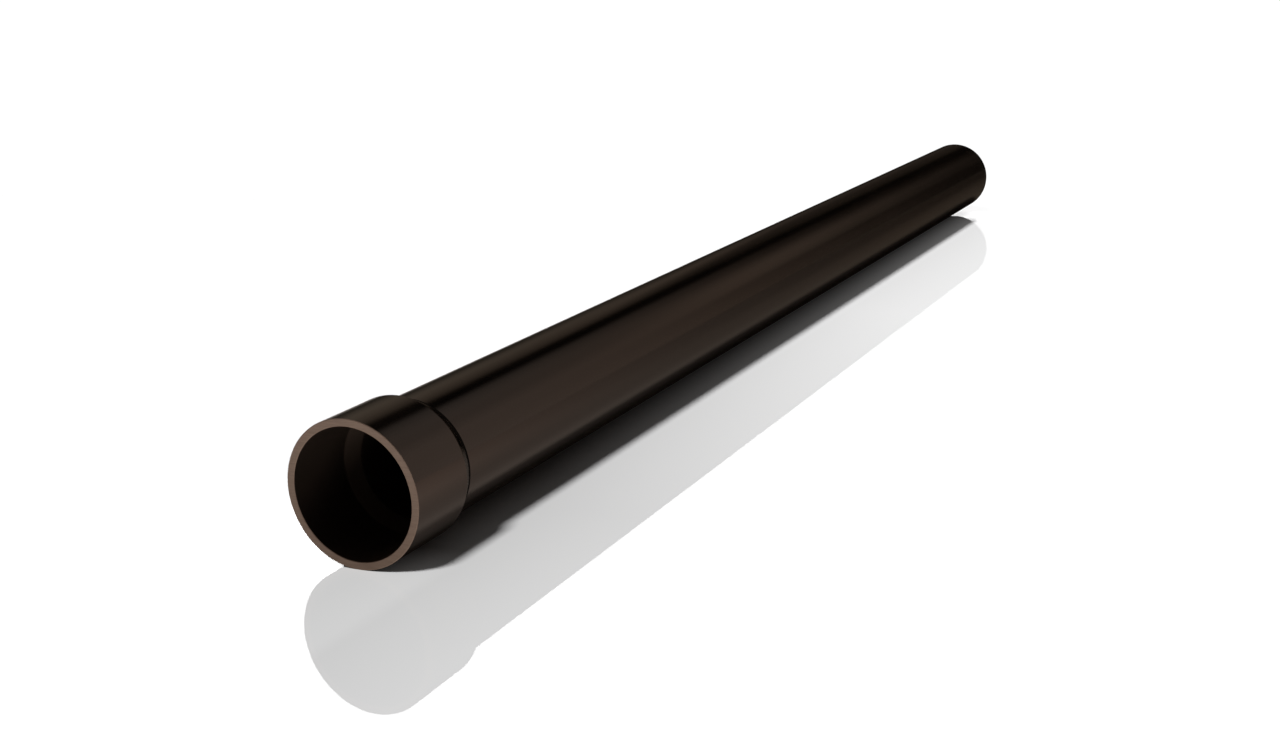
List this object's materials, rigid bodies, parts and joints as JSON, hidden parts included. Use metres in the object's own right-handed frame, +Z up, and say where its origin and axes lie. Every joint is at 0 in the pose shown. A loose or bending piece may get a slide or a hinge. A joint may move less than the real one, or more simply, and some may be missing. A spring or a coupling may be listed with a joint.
{
  "type": "downpipe",
  "caption": "Round dark brown plastic rainwater downpipe with a belled socket at one end and a plain spigot at the other, lying on its side.",
  "frame": {"origin": "on the floor, under the middle of the pipe", "axes": "+X along the pipe from the socket to the spigot, +Y to the left of that, +Z up"},
  "size_m": [1, 0.0708, 0.0709],
  "materials": {
    "pipe_plastic": "satin dark brown, self-coloured PVC-U"
  },
  "bodies": {
    "root": {"downpipe": "pipe_plastic"}
  },
  "joints": []
}
